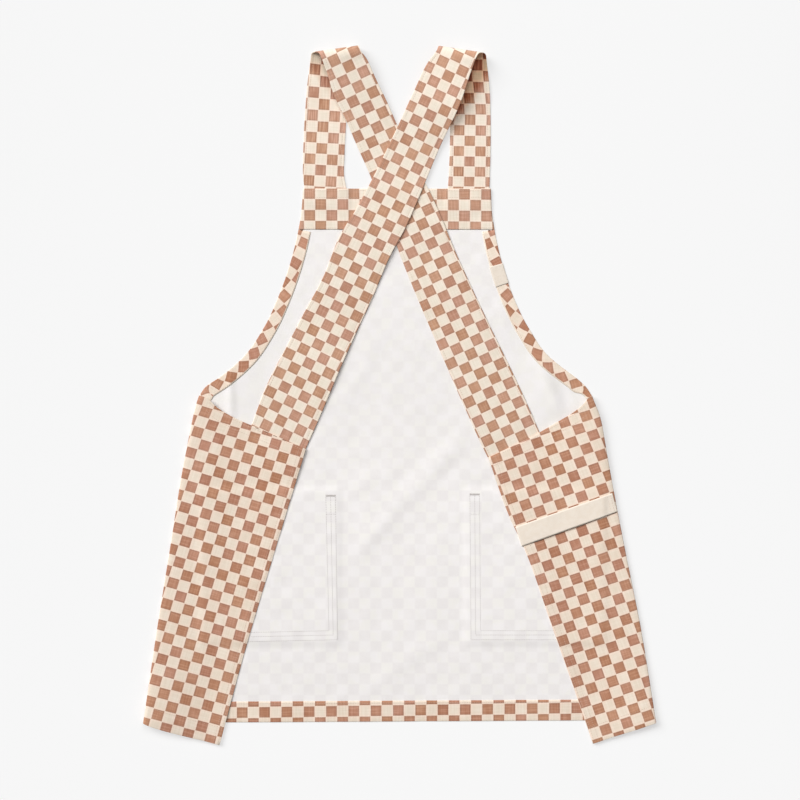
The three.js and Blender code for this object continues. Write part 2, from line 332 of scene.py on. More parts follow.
def dress(shader, colour, height, strength=0.3, deep=0.12):
    sockets = {"Strength": strength, "Distance": deep * mm, "Height": height}
    bump = colour.node("ShaderNodeBump", {}, sockets)
    for wire, key in ((colour, "Base Color"), (bump, "Normal")):
        wire.tree.links.new(wire.socket, shader.inputs[key])


def wavesOf(place, times):
    # sines across and along, with so many half waves to a square
    return [(part * (math.pi * times)).maths("SINE") for part in place.split()]


def checkMask(place, soft, shrink):
    # 1 in the brown squares, 0 in the cream ones, with softened edges; and how near the middle of a square
    across, along = wavesOf(place, 1)
    side = (across * along).maths("SIGN")
    near = across.maths("ABSOLUTE").maths("MINIMUM", along.maths("ABSOLUTE"))
    return (side * near).ranged(shrink - soft, shrink + soft), near.ranged(0.05, 0.75)


def weaveOf(place, threads):
    # plain weave: threads passing over and under each other
    across, along = wavesOf(place, threads)
    return across * along


def slubsOf(place, across, along):
    # thicker yarns: noise drawn out along the cloth, or across it
    return place.vectors("MULTIPLY", (across, along, 1)).noise(1.0, 3.0)


def printedCloth(name, own):
    look = {
        "soft": 0.11,       # print edges, as a share of a square times pi
        "shrink": 0.07,     # the brown squares are a little smaller than the cream
        "wobble": 0.05, "wobbles": 22,
        "threads": 30,      # to a square
        "warm": (1.0, 1.0, 0.94, 1), "pink": (1.0, 0.985, 1.06, 1),          # how the ink differs by square
        "inkRim": (0.86, 0.86, 0.86, 1), "inkCore": (1.06, 1.05, 1.04, 1),   # and within one
        "groundRim": (1.05, 1.0, 0.99, 1), "groundCore": (0.975, 0.992, 0.985, 1),
        "hueDraw": (31.7, 12.3, 0),  # so that the hue is drawn apart from the fading
        **own,
    }
    material, shader, uv = newCloth(name, 0.9, 0.12)
    shift = uv.noise(look["wobbles"], out=1).vectors("SUBTRACT", (0.5, 0.5, 0.5))
    shift = shift.vectors("MULTIPLY", (look["wobble"], look["wobble"], 0))
    ink, core = checkMask(uv.vectors("ADD", shift), look["soft"], look["shrink"])
    warpSlub = slubsOf(uv, 7, 0.5).ranged(0.38, 0.7)
    weftSlub = slubsOf(uv, 0.5, 7).ranged(0.42, 0.74)
    cloudy = uv.noise(0.45, 3).ranged(0.3, 0.7)
    cell = uv.vectors("FLOOR")
    each = cell.drawn()
    hue = cell.vectors("ADD", look["hueDraw"]).drawn()
    fade = each * 0.4 + cloudy * 0.15 + warpSlub * look["warp"] + weftSlub * look["weft"] - 0.1
    inkColour = fade.mixed(look["ink"], look["inkPale"])
    inkColour = inkColour.tinted(hue.mixed(look["warm"], look["pink"]))
    inkColour = inkColour.tinted(core.mixed(look["inkRim"], look["inkCore"]))
    groundFade = cloudy * 0.2 + each * 0.25 + warpSlub * 0.35 + weftSlub * 0.3
    groundColour = groundFade.mixed(look["ground"], look["groundPale"])
    groundColour = groundColour.tinted(core.mixed(look["groundRim"], look["groundCore"]))
    weave = weaveOf(uv, look["threads"])
    cloth = ink.mixed(groundColour, inkColour).lit(weave.ranged(-1, 1, 0.98, 1.015))
    if "deep" in look:
        # painted shade: inside a folded strap little light passes between its two faces, so the colours here
        # are painted darker and deeper
        inside, shadeWarmth = uv.node("ShaderNodeUVMap", {"uv_map": "shade"}).split()
        paintedShade = uv.node("ShaderNodeGamma", {}, {0: cloth, 1: look["deep"]})
        cloth = inside.mixed(cloth, paintedShade.tinted(shadeWarmth.mixed(look["coolShadeTint"], look["glow"])))
    dress(shader, cloth, weave * 0.4 + warpSlub * 0.5 + weftSlub * 0.5)
    return material


def wrongSide():
    look = {
        "white": (0.925, 0.893, 0.882, 1),
        "ivory": (0.915, 0.886, 0.850, 1),
        "ghost": (0.872, 0.836, 0.824, 1),  # where the brown print shows through
        "soft": 0.34,
        "threads": 30,
        "high": (15, 23), "fadeUp": 0.35,       # up the front the print shows less, in squares
        "aside": (7, 11), "fadeAside": 0.45,    # and least beside the armholes
        # painted shade: the upper front and bib are darker, as they lie in partial shade
        "bib": (14, 27), "bibTone": 0.955,
    }
    material, shader, uv = newCloth("wrongSide", 0.92, 0.12)
    through, _ = checkMask(uv, look["soft"], 0.0)
    patchy = uv.noise(0.8, 3).ranged(0.35, 0.65)
    slub = slubsOf(uv, 18, 0.7).ranged(0.5, 0.75)
    along, up = uv.split()
    high = up.ranged(*look["high"])
    aside = along.maths("ABSOLUTE").ranged(*look["aside"]) * high
    seen = 1.0 - high * look["fadeUp"] - aside * look["fadeAside"]
    base = patchy.mixed(look["white"], look["ivory"])
    cloth = (through * (patchy * 0.4 + 0.6) * seen).mixed(base, look["ghost"])
    weave = weaveOf(uv, look["threads"])
    # the weave and slubs, with painted shade over the upper front and bib
    level = (weave + slub).ranged(-1, 2, 0.985, 1.012) * up.ranged(*look["bib"], 1.0, look["bibTone"])
    dress(shader, cloth.lit(level), weave * 0.5 + slub * 0.5)
    return material


def creamTape(name, tone):
    look = {"cream": (0.860, 0.755, 0.640, 1), "pale": (0.905, 0.815, 0.715, 1), "ribs": 9.0}
    material, shader, uv = newCloth(name, 0.88, 0.15)
    along, across = uv.split()
    twill = ((along + across) * (2 * math.pi * look["ribs"])).maths("SINE")
    slub = slubsOf(uv, 1.5, 30).ranged(0.42, 0.7)
    cloudy = uv.noise(1.2, 3).ranged(0.3, 0.7)
    cloth = (cloudy * 0.5 + slub * 0.4).mixed(look["cream"], look["pale"])
    level = twill.ranged(-1, 1, 0.965, 1.02) * tone
    dress(shader, cloth.lit(level), twill * 0.5 + slub * 0.4, strength=0.4)
    return material


def sewingThread(name, dark, pale):
    twists = 40
    material, shader, uv = newCloth(name, 0.75, 0.1)
    twist = (uv.split()[0] * twists).maths("SINE")
    dress(shader, twist.ranged(-1, 1).mixed(dark, pale), twist, deep=0.05)
    return material


def paleFloor():
    # a backlit white table: shadows on it stay pale
    values = {"Base Color": (0.40, 0.40, 0.40, 1), "Roughness": 1.0, "Specular IOR Level": 0.0,
              "Emission Strength": 1.0}
    material, shader, wire = newMaterial("paleFloor", values)
    # the lamp reaches the far side of the table less, so the glow makes up for it
    far = wire.node("ShaderNodeTexCoord", out=3).split()[1] * 0.9 + 0.5
    glow = far.mixed((0.560, 0.560, 0.560, 1), (0.500, 0.500, 0.500, 1))
    wire.tree.links.new(glow.socket, shader.inputs["Emission Color"])
    return material


checkPrint = printedCloth("checkPrint", {
    "ink": (0.410, 0.186, 0.106, 1), "inkPale": (0.595, 0.330, 0.225, 1), "warp": 0.3, "weft": 0.45,
    "ground": (0.820, 0.675, 0.545, 1), "groundPale": (0.935, 0.810, 0.690, 1),
})
# the straps, their inner faces and the facing are printed paler than the body: partly their print, partly
# painted sheen from the light on the cloth near the top
strapPrintAndSheen = printedCloth("strapPrintAndSheen", {
    "ink": (0.440, 0.225, 0.140, 1), "inkPale": (0.630, 0.380, 0.268, 1), "warp": 0.35, "weft": 0.35,
    "ground": (0.805, 0.695, 0.570, 1), "groundPale": (0.920, 0.820, 0.710, 1), "shrink": 0.04,
})
strapFront = printedCloth("strapFront", {
    "ink": (0.430, 0.215, 0.134, 1), "inkPale": (0.630, 0.385, 0.275, 1), "warp": 0.75, "weft": 0.1,
    "ground": (0.810, 0.690, 0.565, 1), "groundPale": (0.925, 0.815, 0.705, 1),
    # painted shade inside the shoulder loops: deep darkens the colours, tinted cool on the left and warm
    # (glow) on the right
    "deep": 1.75, "coolShadeTint": (0.84, 0.85, 0.86, 1), "glow": (1.12, 0.98, 0.86, 1),
})
insideCloth = wrongSide()
tapeCloth = creamTape("tapeCloth", 1.0)
tabCloth = creamTape("tabCloth", 0.93)
tanThread = sewingThread("tanThread", (0.60, 0.43, 0.34, 1), (0.70, 0.54, 0.44, 1))
greyThread = sewingThread("greyThread", (0.46, 0.42, 0.40, 1), (0.58, 0.54, 0.51, 1))
brownThread = sewingThread("brownThread", (0.20, 0.10, 0.06, 1), (0.30, 0.16, 0.10, 1))
print("finishes made")


# Body: the front and both wings are one cloth, folded over at the sides

body = {
    "thick": 0.45,
    "middle": 0.5,       # height of the middle of the cloth over the table
    "armhole": [  # y, left edge, right edge
        (312, -146.5, 138), (275, -149.5, 140), (251, -153.5, 143.5), (200, -166, 155), (149, -184, 172),
        (100, -207, 196), (55, -239, 229), (40, -255.2, 247.4), (26, -273, 266.4), (12, -294, 281.9),
        (-2, -304.5, 291.5),
    ],
    "side": [
        (-2, -304.5, 291.5), (-12, -308, 295.3), (-27, -312, 301.6), (-40, -315, 305.4),
        (-70, -321, 311), (-100, -327, 316.2), (-235, -349, 341.8), (-350, -367.5, 365), (-498, -389, 389),
    ],
    "edgeInset": 1.0,    # the cloth stops short of the outline, and the turned edges go round it
    "footFrom": 40,      # y where it starts to draw in to the feet of the side folds
    "hemLine": -496.6,
    "hemTilt": 0.0057,
    "foldReach": 1.3,    # how far the fold bulges sideways
    "foldSettle": 105,   # how far in until a wing lies down
    "foldCrest": [  # y, height of the left fold, height of the right fold
        (-2, 9.0, 10.5), (-40, 7.6, 9.3), (-100, 5.8, 7.4), (-235, 4.6, 5.5),
        (-350, 4.8, 5.4), (-440, 8.6, 6.7), (-498, 13.2, 8.6),
    ],
    "wingRest": [  # y, height of a wing that lies down
        (-2, 4.0), (-105, 3.9), (-160, 2.2), (-220, 1.75),
        (-440, 1.75), (-465, 1.85), (-500, 3.2), (-531, 4.2),
    ],
    "turnRadius": 0.25, "turnBack": 5.0,  # of the turned edges of the wings
    "drape": {"level": 0.35, "ripples": [(0.22, 95, 3), (0.13, 38, 5)]},
    "wingDrape": 0.5,    # how much of the drape shows in the wings
    "wingLumps": {"level": 0.25, "ripples": [(0.15, 80, 11), (0.08, 30, 12)]},
    "check": {"corner": (5.9, -407.6), "wide": 16.9, "tall": 16.35},
    "bibRows": 62, "sideRows": 104, "columns": 128, "foldColumns": 8, "wingColumns": 26,
}
wings = {
    "left": {
        "top": [(-304.5, -2), (-297, -4), (-289, -8.5), (-281, -17), (-253, -35), (-214, -52), (-143, -83)],
        "inner": [(-143, -83), (-186, -224), (-240, -405), (-274, -532)],
        "bottom": [(-389, -498), (-381, -501.8), (-364, -507.6), (-331, -517), (-296, -526), (-274, -532)],
        "check": {"corner": (-249.0, -237.6), "turn": -16.6, "wide": 16.8, "tall": 16.45,
                  "bowBase": -1.6, "bow": 5.5e-5, "bowAt": -110,
                  "fan": 0.024, "shear": 0.016, "fanAt": -59, "fanFrom": -60, "fanTo": 220,
                  "pulls": [((-290, -12), 26, -2.5, 0.65), ((-262, -32), 24, -2.5, 0.65)]},
    },
    "right": {
        "top": [(291.5, -2), (284, -7.5), (278.5, -15), (267, -25), (243, -40), (198, -66), (135, -96)],
        "inner": [(135, -96), (167.5, -187), (188.6, -232), (231.1, -351), (264.8, -446), (293.5, -530)],
        "bottom": [(389, -498), (360, -508), (326, -519), (294, -530)],
        "check": {"corner": (326.9, -320.8), "turn": 19.6, "wide": 16.8, "tall": 16.52,
                  "bowBase": 0.3, "bow": -3.6e-5, "bowAt": 10,
                  "shear": -0.018, "fanAt": -9, "fanFrom": -190, "fanTo": -40,
                  "pulls": [((285, -25), 26, 0, 3.2), ((255, -45), 60, 2.2, 0.3)]},
    },
}
pockets = {  # patches under the cloth, and where their seams show on top
    "left": {"left": -298, "right": -98, "top": -150, "bottom": -373},
    "right": {"left": 106, "right": 306, "top": -150, "bottom": -373},
}
pocketRise = {"lift": 1.3, "margin": 2, "slope": 9}
creases = [  # soft folds in the front: start, end, height, half width
    ((106, -52), (-74, -248), 1.2, 14),
    ((60, -374), (-38, -440), 0.7, 11),
    ((-258, 44), (-256, -60), 1.7, 5.5),
    ((206, 60), (226, -40), 1.2, 20),
    ((213, 50), (247, -38), 1.6, 9),
    ((246, 40), (270, -26), 0.7, 5.5),
    ((-30, 96), (-88, -30), 0.45, 12),
    ((42, 84), (24, 58), 0.4, 6),
    ((150, 150), (163, 96), 0.5, 8),
    ((-20, -120), (-86, -160), 0.35, 12),
]

readArmhole, readSide, readCrest, readRest = (
    tableCurve(body[key]) for key in ("armhole", "side", "foldCrest", "wingRest"))
cornerY = body["side"][0][0]
foldEndY = body["side"][-1][0]
bibTop = body["armhole"][0][0]


def edgeX(side, y):
    y = np.asarray(y, float)
    return np.where(y >= cornerY, readArmhole(y)[..., sideColumn[side]], readSide(y)[..., sideColumn[side]])


def edgePoint(side, y, inset):
    # points on the outline, moved in from the edge along its normal
    lean = edgeX(side, y - 1) - edgeX(side, y + 1)
    inward = unit(stacked(2.0, lean)) * inwardSign[side]
    return stacked(edgeX(side, y), y) + inward * np.reshape(inset, (-1, 1))


def hemLine(x):
    return body["hemLine"] + body["hemTilt"] * x


def riseAt(x, y):
    # how far the pockets under it lift the cloth
    lift = np.zeros(np.broadcast(x, y).shape)
    for pocket in pockets.values():
        beside = np.maximum(pocket["left"] - x, x - pocket["right"])
        beyond = np.maximum(pocket["bottom"] - y, y - pocket["top"])
        away = np.maximum(beside, beyond) - pocketRise["margin"]
        lift = np.maximum(lift, 1 - smoothStep(away, 0, pocketRise["slope"]))
    return lift * pocketRise["lift"]


def drapeAt(x, y):
    # soft folds and unevenness of a cloth laid by hand
    high = unevenness(x, y, body["drape"])
    for (x0, y0), (x1, y1), height, wide in creases:
        length = math.hypot(x1 - x0, y1 - y0)
        ux, uy = (x1 - x0) / length, (y1 - y0) / length
        along = ((x - x0) * ux + (y - y0) * uy) / length
        off = (y - y0) * ux - (x - x0) * uy
        ends = smoothStep(along, -0.12, 0.25) * (1 - smoothStep(along, 0.7, 1.12))
        high = high + height * ends * np.exp(-(off / wide) ** 2)
    return np.maximum(high, 0)


def groundAt(x, y):
    # the middle of the front's cloth above the table
    return body["middle"] + riseAt(x, y) + drapeAt(x, y)


def edgeGround(side, y, inset):
    # the same beside the outline, where a turned edge can lie past the front's cloth
    return groundAt(*xyOf(edgePoint(side, y, np.maximum(inset, body["edgeInset"]))))


def wingHeight(side, x, y):
    crest = readCrest(y)[..., sideColumn[side]]
    fromFold = np.abs(edgeX(side, np.maximum(y, foldEndY)) - x)
    flat = smoothStep(fromFold, body["foldReach"], body["foldSettle"])
    settled = crest + (readRest(y)[..., 0] - crest + unevenness(x, y, body["wingLumps"])) * flat
    return riseAt(x, y) + body["wingDrape"] * drapeAt(x, y) + settled


def wingPatch(side):
    # the wing's outline filled in: s runs from the fold to the inner edge, t from top to bottom
    top, inner, bottom = (evenCurve(wings[side][line]) for line in ("top", "inner", "bottom"))
    run = np.linspace(0, 1, len(top))

    def patch(s, t):
        s, t = np.broadcast_arrays(s, t)
        across, down = s[..., None], t[..., None]
        y = cornerY + (foldEndY - cornerY) * t
        filled = blend(stacked(edgeX(side, y), y), readLine(t, run, inner), across)
        for line, share in ((top, 1 - down), (bottom, down)):
            filled = filled + (readLine(s, run, line) - blend(line[0], line[-1], across)) * share
        return filled

    return patch


def wingGrid(side):
    # points from the foot of the side fold, round it and over to the turned inner edge
    t = np.linspace(0, 1, body["sideRows"] + 1)
    patch = wingPatch(side)
    start = patch(0, t)
    wide = np.linalg.norm(patch(1, t) - start, axis=1)
    reach = body["foldReach"]
    inward = unit(patch(reach / wide, t) - start)
    foot = start + inward * reach
    base = groundAt(*xyOf(foot))
    crest = wingHeight(side, *xyOf(foot))
    points, flat = [], []
    for turn in np.linspace(0, math.pi, body["foldColumns"] + 1)[:-1]:
        place = foot - inward * (reach * math.sin(turn))
        points.append(np.column_stack([place, base + (crest - base) * (1 - math.cos(turn)) / 2]))
    for share in np.linspace(0, 1, body["wingColumns"] + 1):
        place = patch(blend(reach, wide, share) / wide, t)
        points.append(np.column_stack([place, wingHeight(side, *xyOf(place))]))
        flat.append(place)
    points = np.stack(points, axis=1)
    # the check runs on round the fold by the length of cloth in it
    steps = np.linalg.norm(np.diff(points[:, :body["foldColumns"] + 1], axis=1), axis=2)
    around = np.cumsum(steps[:, ::-1], axis=1)[:, ::-1]
    flat = [foot - inward * around[:, k:k + 1] for k in range(body["foldColumns"])] + flat
    return points, np.stack(flat, axis=1)


def turnedRows(points, flat, steps=6):
    # rows that carry a cloth on past its last row, curling to its wrong side
    radius, back = body["turnRadius"], body["turnBack"]
    turns = np.linspace(0, math.pi, steps + 1)[1:]
    # cloth used past the edge, how far out, and how far down
    curl = [(radius * t, radius * math.sin(t), radius * (1 - math.cos(t))) for t in turns]
    curl.append((radius * math.pi + back, -back, 2 * radius))
    out = unit(points[-1] - points[-2])
    inside = unit(np.cross(out, np.gradient(points[-1], axis=0)))
    inside = inside * -np.sign(inside[len(inside) // 2, 2])
    flatOut = unit(flat[-1] - flat[-2])
    rows = [points[-1] + out * far + inside * down for _, far, down in curl]
    flats = [flat[-1] + flatOut * used for used, _, _ in curl]
    return np.stack(rows), np.stack(flats)


def crosswise(grid):
    return np.swapaxes(grid, 0, 1)


def makeBody():
    cloth = ClothMesh()
    sideGrids = {side: wingGrid(side) for side in wings}
    # the front between the feet of the folds, then the bib above it
    t = np.linspace(0, 1, body["sideRows"] + 1)[:, None]
    share = np.linspace(0, 1, body["columns"] + 1)
    leftFoot, rightFoot = (sideGrids[side][0][:, :1, 0] for side in wings)
    x = blend(leftFoot, rightFoot, share)
    y = blend(cornerY, hemLine(x), t)
    lower = stacked(x, y, groundAt(x, y))
    y = crowded(bibTop, cornerY, body["bibRows"])[:-1, None]
    footInset = leftFoot[0] - edgeX("left", cornerY)
    inset = blend(body["edgeInset"], footInset, smoothStep(y, body["footFrom"], cornerY))
    x = blend(edgeX("left", y) + inset, edgeX("right", y) - inset, share)
    upper = stacked(x, y, groundAt(x, y))
    lowerIndex = cloth.addPoints(lower)
    upperIndex = np.vstack([cloth.addPoints(upper), lowerIndex[:1]])
    upper = np.concatenate([upper, lower[:1]])
    for index, points in ((upperIndex, upper), (lowerIndex, lower)):
        cloth.addGrid(index, squaresAt(*xyOf(points), body["check"]))
    crest = body["foldColumns"] // 2
    for side in wings:
        points, flat = sideGrids[side]
        index = cloth.addPoints(points)
        index[:, 0] = lowerIndex[:, -sideColumn[side]]  # one cloth at the foot of the fold
        grids = [(index, flat)]
        # inner edge, top and bottom: in each view the last row is the one to carry on from
        for view, first in ((crosswise, 0), (np.flipud, crest), (np.asarray, crest)):
            edge, rows, flats = (view(grid[:, first:]) for grid in (index, points, flat))
            moreRows, moreFlats = turnedRows(rows, flats)
            grid = np.vstack([edge[-1:], cloth.addPoints(moreRows)])
            grids.append((view(grid), view(np.concatenate([flats[-1:], moreFlats]))))
        for grid, used in grids:
            cloth.addGrid(grid, squaresAt(*xyOf(used), wings[side]["check"]), mirrored=side == "left")
    return cloth.close("smockBody", body["thick"], [insideCloth, checkPrint])


smockBody = makeBody()
print("body folded:", len(smockBody.data.polygons), "faces")


# Turned edges along the armholes, the bottom and the bib

hems = {
    "armholeWide": 19, "bottomWide": 31.3, "thick": 0.32, "over": 0.52, "steps": 96,
    "lead": 0.8, "wrap": 0.5, "bulge": 1.0,  # where the turn round the edge starts, its radius, its reach
    "edgeDrop": 0.12,                      # how far the inner edge lies lower
    "margin": 2.0,                         # unprinted strip along the inner edge
    "plain": (1.5, 0.5),                   # its place in the check: the middle of a cream square
    "facingGap": 0.2,
    "lowest": {"armhole": 0.35, "bottom": 0.45},
    "end": {"left": -1.4, "right": -2.8},  # y where the turned armhole edges stop under the wings
    "taper": {"left": 0.0, "right": 0.5},  # how much narrower they get there
    "taperRun": (1, 20),
    "bottomEndsAt": -480, "bottomClear": 6.5,  # the bottom edge stops short of the side folds
    "bottomCheck": {"corner": (-264.8, -471.8), "wide": 16.945, "tall": 16.6},
    "bottomCheckTilt": 0.0141,
    "ease": {  # y, how far the print is eased across and along when the curved edge is turned
        "left": [(245, 3.0, -3.6), (180, -1.9, -1.3), (110, 1.3, -1.8), (60, 4.7, -1.9), (27, 4.9, 0.2),
                 (12, 9.0, -1.0)],
        "right": [(245, -4.0, -4.5), (180, -5.9, -0.8), (110, -6.5, -0.8), (60, -8.4, 0.7), (36, -7.0, 4.3),
                  (22, -8.9, 1.2), (8, -14.0, -4.1)],
    },
}


def hemWide(side, y):
    return hems["armholeWide"] * (1 - hems["taper"][side] * (1 - smoothStep(y, *hems["taperRun"])))


def hemSections(insets):
    # from the inner edge out and round the cloth's edge: how far in, cloth used, how far over the cloth
    lead, wrap, over = hems["lead"], hems["wrap"], hems["over"]
    sections = [(inset, inset, over) for inset in insets]
    sections[0] = (insets[0], insets[0], over - hems["edgeDrop"])
    for turn in np.linspace(0, math.pi, 7)[1:]:
        inset = lead - hems["bulge"] * math.sin(turn)
        sections.append((inset, lead - wrap * turn, over - wrap * (1 - math.cos(turn))))
    return sections


def armholeHem(side):
    y = crowded(bibTop - facing["deep"] - hems["facingGap"], hems["end"][side], hems["steps"])
    wide = hemWide(side, y)
    printed = [blend(hems["lead"], wide - hems["margin"], share) for share in np.linspace(1, 0, 8)]
    ease = tableCurve(hems["ease"][side])(y)
    points, squares = [], []
    for inset, used, over in hemSections([wide, *printed]):
        z = np.maximum(edgeGround(side, y, inset) + over, hems["lowest"]["armhole"])
        points.append(np.column_stack([edgePoint(side, y, inset), z]))
        squares.append(squaresAt(*xyOf(edgePoint(side, y, -used) - ease), body["check"]))
    cloth = ClothMesh()
    index, squares = cloth.addPoints(np.stack(points, axis=1)), np.stack(squares, axis=1)
    plain = np.broadcast_to(hems["plain"], squares[:, :2].shape)
    for grid, marks in ((index[:, :2], plain), (index[:, 1:], squares[:, 1:])):
        cloth.addGrid(grid, marks, mirrored=side == "left")
    return cloth.close("armholeHem" + side.title(), hems["thick"], [checkPrint, insideCloth])


def bottomHem():
    ends = [edgeX(side, hems["bottomEndsAt"]) + inwardSign[side] * hems["bottomClear"] for side in wings]
    x = np.linspace(*ends, 150)
    edge = hemLine(x)
    points, squares = [], []
    for up, used, over in hemSections(np.linspace(hems["bottomWide"], hems["lead"], 12)):
        z = groundAt(x, edge + max(up, body["edgeInset"])) + over
        points.append(stacked(x, edge + up, np.maximum(z, hems["lowest"]["bottom"])))
        squares.append(squaresAt(x, edge + used - hems["bottomCheckTilt"] * x, hems["bottomCheck"]))
    points, squares = np.stack(points), np.stack(squares)
    return clothSheet("bottomHem", points, squares, hems["thick"], [checkPrint, insideCloth])


facing = {
    "deep": 61.5, "thick": 0.4, "over": 0.75, "overhang": 0.4,
    "topEdge": [(-0.6, 1.1), (-0.5, 0.45), (0.2, 0.12)],  # how far down, and how far it sinks there
    "flatFrom": 1.4, "flatTo": 60.5, "lowerSink": 0.25,
    "overStrap": 1.6, "strapSlope": 10, "strapEnd": (46, 17),  # how it lies over the straps' ends
    "strapLeft": (-146, -82), "strapRight": (74, 137),
    "puff": {"level": 0, "ripples": [(0.1, 24, 21)]},
    "check": {"corner": (-94.9, 280.2), "wide": 16.8, "tall": 16.45},
    "checkDrop": 1.2, "dropFrom": -95, "dropRun": 219,  # the rows fall a little to the right
}


def facingHeight(x, y):
    lift = np.zeros(np.broadcast(x, y).shape)
    for low, high in (facing["strapLeft"], facing["strapRight"]):
        beside = np.maximum(low - x, x - high)
        lift = np.maximum(lift, 1 - smoothStep(beside, 0, facing["strapSlope"]))
    lift = lift * smoothStep(y, *[bibTop - down for down in facing["strapEnd"]])
    over = facing["over"] + facing["overStrap"] * lift
    return groundAt(x, y) + over + unevenness(x, y, facing["puff"])


def bibFacing():
    flat = [(down, 0) for down in np.linspace(facing["flatFrom"], facing["flatTo"], 40)]
    down, sink = np.array([*facing["topEdge"], *flat, (facing["deep"], facing["lowerSink"])]).T[..., None]
    y = bibTop - down
    onBib = np.minimum(y, bibTop)
    left, right = (edgeX(side, onBib) - inwardSign[side] * facing["overhang"] for side in wings)
    x = blend(left, right, np.linspace(0, 1, 120))
    fromDrop = x - facing["dropFrom"]
    sag = facing["checkDrop"] * (fromDrop / facing["dropRun"]) ** 2 * np.sign(fromDrop)
    points = stacked(x, y, facingHeight(x, onBib) - sink)
    squares = squaresAt(x, y + sag, facing["check"])
    return clothSheet("bibFacing", points, squares, facing["thick"], [strapPrintAndSheen, insideCloth])


armholeHems = {side: armholeHem(side) for side in wings}
hemBottom = bottomHem()
facingBand = bibFacing()
print("edges turned")


# Straps: doubled cloth with stitched edges, from the bib over the shoulder to the far wing

strapLook = {
    "half": 0.65, "edge": 0.9, "seam": 4.6, "seamSink": 0.15, "seamWide": 0.9, "step": 3.2,
    "columns": [0, 0.25, 0.7, 1.3, 2.2, 3.2, 4.0, 4.6, 5.2, 6.2, 8.0, 11.0],  # in from each edge
    "middleColumns": 5,
    "pucker": {"level": 0, "ripples": [(0.06, 9, 33)]}, "puckerWide": 3,  # along the seams
    "waves": {"left": {"level": 0, "ripples": [(0.15, 55, 31)]},          # along the edges
              "right": {"level": 0, "ripples": [(0.15, 55, 32)]}},
    "lowest": 0.05, "lowestStitch": 0.4,  # the table holds the cloth up
    "bulge": 4.5,                      # how far the shoulder loop rounds outward
    "leanFront": 3.5, "leanBack": 10,  # how the open end of the loop leans
    "leanFar": 3,                      # and the other end
}
straps = {  # sections: left edge x, y and height, then the same for the right edge
    "left": {
        "front": [(-144, 293, 1.5, -81, 293, 1.5), (-145, 312, 1.5, -81, 312, 1.5),
                  (-147, 332, 1.1, -84.5, 332, 1.1), (-147, 360, 0.9, -84, 360, 0.9),
                  (-144.5, 420, 0.9, -81, 420, 0.9), (-140, 475, 2.0, -77, 485, 2.0)],
        "shoulder": (-132, 519.5, 3.6, -64.5, 529, 3.0),
        "loopHigh": (12.0, 12.0),
        "back": [(-112, 492, 13.4, -50, 508, 13.4), (-101, 457, 10.0, -37, 480, 10.2),
                 (-82, 417, 6.4, -18, 441, 6.0), (-67, 382, 3.8, -3, 407, 3.7), (-43, 328, 2.7, 22, 355, 2.7),
                 (-19, 264, 2.5, 53, 292, 2.5), (-7, 232, 2.3, 66, 262, 2.5), (5, 200, 1.7, 79, 230, 1.9),
                 (54.3, 81.7, 1.55, 132, 114, 1.55), (99, -20.6, 1.9, 180, 15, 1.55),
                 (135, -98, 1.8, 212, -57, 1.55), (146, -118, 1.6, 221, -78, 1.55)],
        # painted shade inside the loop: y, x of the back run's edge there, how far out the painted shade
        # reaches on the front run, how deep
        "inside": [(440, -95, 4, 0.0), (469, -104, 16, 0.4), (494, -112, 32, 0.7), (526, -122, 36, 0.85)],
        "shadeWarmth": 0.0,
        "backCheck": {"corner": (134.7, 64.8), "turn": 25.1, "wide": 16.75, "tall": 16.15,
                      "stretch": 0.042, "stretchFrom": 370},
        "frontCheck": {"corner": (-91.9, 396.9), "turn": -3.2, "wide": 16.87, "tall": 16.5,
                       "stretch": 0.03, "stretchFrom": 15,
                       "shear": -0.08, "fanAt": -18, "fanFrom": -10, "fanTo": -125},
    },
    "right": {
        "front": [(73, 293, 1.5, 136, 293, 1.5), (73, 312, 1.5, 136.3, 312, 1.5),
                  (74, 328, 1.1, 136.8, 328, 1.1), (76, 375, 0.9, 138, 375, 0.9),
                  (76, 420, 0.9, 138, 420, 0.9), (71, 475, 1.2, 136.3, 466, 2.6)],
        "shoulder": (61, 528.5, 2.4, 128.5, 517.5, 5.5),
        "loopHigh": (12.4, 17.5),
        "back": [(44, 505, 13.4, 110, 494, 21.0), (22, 461, 8.8, 91.5, 440, 15.5),
                 (-3, 407, 5.6, 63, 380, 4.6), (-45, 321, 4.2, 25.3, 290, 5.0),
                 (-70, 275, 4.0, 7.4, 250, 4.9), (-88, 247, 3.4, -11, 217, 4.2),
                 (-117, 177, 2.0, -41.8, 146, 2.0), (-148, 119, 1.55, -70.5, 84, 2.6),
                 (-164.6, 87, 1.55, -84.8, 52, 3.7), (-206, 5, 1.55, -119.5, -30, 2.3),
                 (-225, -46, 1.55, -143, -83, 1.9), (-233, -66, 1.55, -152, -103, 1.7)],
        # painted shade inside the loop, as for the left strap, tinted warm
        "inside": [(405, 73, 2, 0.0), (425, 82, 8, 0.8), (450, 94, 20, 0.95), (467, 100, 30, 0.95),
                   (494, 110, 36, 1.0), (526, 122, 36, 1.0)],
        "shadeWarmth": 1.0,
        "backCheck": {"corner": (-127.0, 50.4), "turn": -26.2, "wide": 16.75, "tall": 16.1,
                      "bend": -1.0e-4, "bendFrom": 330},
        "frontCheck": {"corner": (131.3, 408.6), "turn": -1.0, "wide": 16.36, "tall": 16.08, "swell": 3.5e-4,
                       "sway": 7.2, "swayFrom": 10, "swayTo": 95},
    },
}


